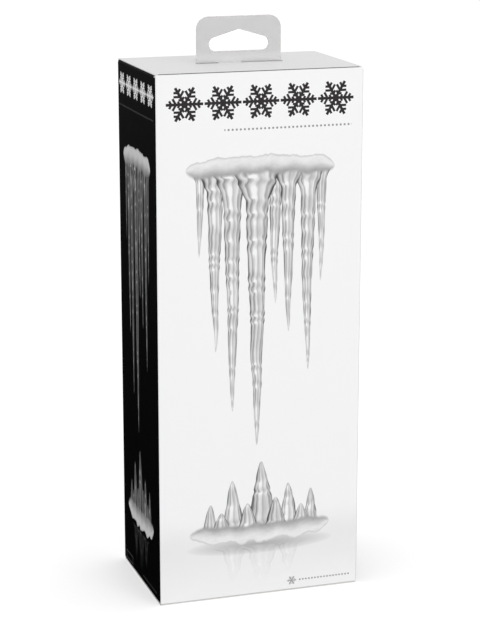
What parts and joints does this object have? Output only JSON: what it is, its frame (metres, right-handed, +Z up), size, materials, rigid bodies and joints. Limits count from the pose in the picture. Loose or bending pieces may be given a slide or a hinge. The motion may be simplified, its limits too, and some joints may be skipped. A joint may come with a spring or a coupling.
{
  "type": "hang-tab folding carton",
  "caption": "Tall retail folding carton with a tuck-in top lid, inner dust flaps, a glued bottom and a clear plastic hang tab pushed through the lid.",
  "frame": {"origin": "middle of the carton's base, on the surface it stands on", "axes": "+Z up towards the hang tab, +Y from the printed front to the back wall that the lid is hinged to, +X to the right seen from the front"},
  "size_m": [0.108, 0.072, 0.2975],
  "materials": {
    "white_print": "satin varnish over white print",
    "black_print": "satin varnish over solid black print",
    "lid_print": "satin white print",
    "bare_board": "uncoated matt board",
    "clear_plastic": "slightly cloudy clear sheet"
  },
  "bodies": {
    "sleeve": {"front_panel": "white_print", "back_panel": "white_print", "left_side_panel": "black_print", "right_side_panel": "black_print", "glue_flap": "bare_board", "bottom_outer_flap": "white_print", "bottom_inner_flap": "bare_board", "bottom_dust_flap_left": "bare_board", "bottom_dust_flap_right": "bare_board"},
    "lid": {"lid_panel": "lid_print", "hang_tab": "clear_plastic"},
    "tuck": {"tuck_flap": "lid_print"},
    "dust_left": {"dust_flap_left": "bare_board"},
    "dust_right": {"dust_flap_right": "bare_board"}
  },
  "joints": [
    {"name": "lid_hinge", "type": "hinge", "parent": "sleeve", "child": "lid", "pos_m": [0, 0.036, 0.274], "axis": [-1, 0, 0], "range_deg": [0, 150]},
    {"name": "tuck_fold", "type": "hinge", "parent": "lid", "child": "tuck", "pos_m": [0, -0.0352, 0.274], "axis": [-1, 0, 0], "range_deg": [0, 65]},
    {"name": "dust_left_fold", "type": "hinge", "parent": "sleeve", "child": "dust_left", "pos_m": [-0.0534, 0, 0.2729], "axis": [0, 1, 0], "range_deg": [0, 85]},
    {"name": "dust_right_fold", "type": "hinge", "parent": "sleeve", "child": "dust_right", "pos_m": [0.0534, 0, 0.2729], "axis": [0, -1, 0], "range_deg": [0, 85]}
  ],
  "couplings": [
    {"joint": "tuck_fold", "follows": "lid_hinge", "ratio": 0.4}
  ]
}
